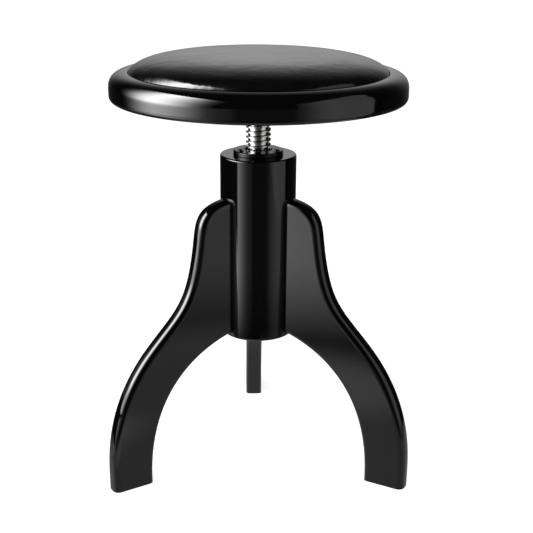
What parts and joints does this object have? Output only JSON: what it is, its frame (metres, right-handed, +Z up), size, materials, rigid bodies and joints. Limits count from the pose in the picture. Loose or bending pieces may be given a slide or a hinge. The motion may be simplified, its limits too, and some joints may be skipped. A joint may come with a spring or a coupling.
{
  "type": "revolving piano stool",
  "caption": "Revolving stool: a round padded seat on a threaded steel spindle that screws up and down in a turned black column with curved plank legs.",
  "frame": {"origin": "on the floor, at the centre of the whole stool's box; the turning axis stands 16.3 mm in front of it, at x 0, y -0.0163", "axes": "+Z up along the turning axis; +Y towards the foot of the back leg; -Y is the side that the picture was taken from; +X to the right as the picture shows it"},
  "size_m": [0.367, 0.3827, 0.5159],
  "materials": {
    "black_lacquer": "high-gloss black polyester lacquer on hardwood",
    "black_leather": "satin black leather with a fine grain",
    "bright_steel": "bright turned steel",
    "black_steel": "black enamel on steel",
    "zinc_steel": "bright zinc-plated screws and bolt",
    "beech": "bare beech dowel",
    "plywood": "bare birch plywood",
    "foam": "upholstery foam",
    "nylon": "black nylon"
  },
  "bodies": {
    "base": {"column": "black_lacquer", "leg_back": "black_lacquer", "leg_left": "black_lacquer", "leg_right": "black_lacquer", "leg_back_dowel_1": "beech", "leg_back_dowel_2": "beech", "leg_back_dowel_3": "beech", "leg_left_dowel_1": "beech", "leg_left_dowel_2": "beech", "leg_left_dowel_3": "beech", "leg_right_dowel_1": "beech", "leg_right_dowel_2": "beech", "leg_right_dowel_3": "beech", "flange_nut": "black_steel", "nut_screw_1": "zinc_steel", "nut_screw_2": "zinc_steel", "nut_screw_3": "zinc_steel"},
    "guide": {"guide_washer": "nylon"},
    "seat": {"lift_screw": "bright_steel", "stop_bolt": "zinc_steel", "seat_plate": "black_steel", "plate_screw_1": "zinc_steel", "plate_screw_2": "zinc_steel", "plate_screw_3": "zinc_steel", "plate_screw_4": "zinc_steel", "seat_board": "black_lacquer", "pad_board": "plywood", "pad_foam": "foam", "pad_cover": "black_leather", "pad_screw_1": "zinc_steel", "pad_screw_2": "zinc_steel", "pad_screw_3": "zinc_steel", "pad_screw_4": "zinc_steel"}
  },
  "joints": [
    {"name": "seat_lift", "type": "slide", "parent": "base", "child": "guide", "axis": [0, 0, 1], "range_m": [-0.04801, 0.07201]},
    {"name": "seat_turn", "type": "hinge", "parent": "guide", "child": "seat", "pos_m": [0, -0.0163, 0.5], "axis": [0, 0, 1], "range_deg": [-2880, 4320]}
  ],
  "couplings": [
    {"joint": "seat_lift", "follows": "seat_turn", "m_per_rad": 0.00095493}
  ]
}
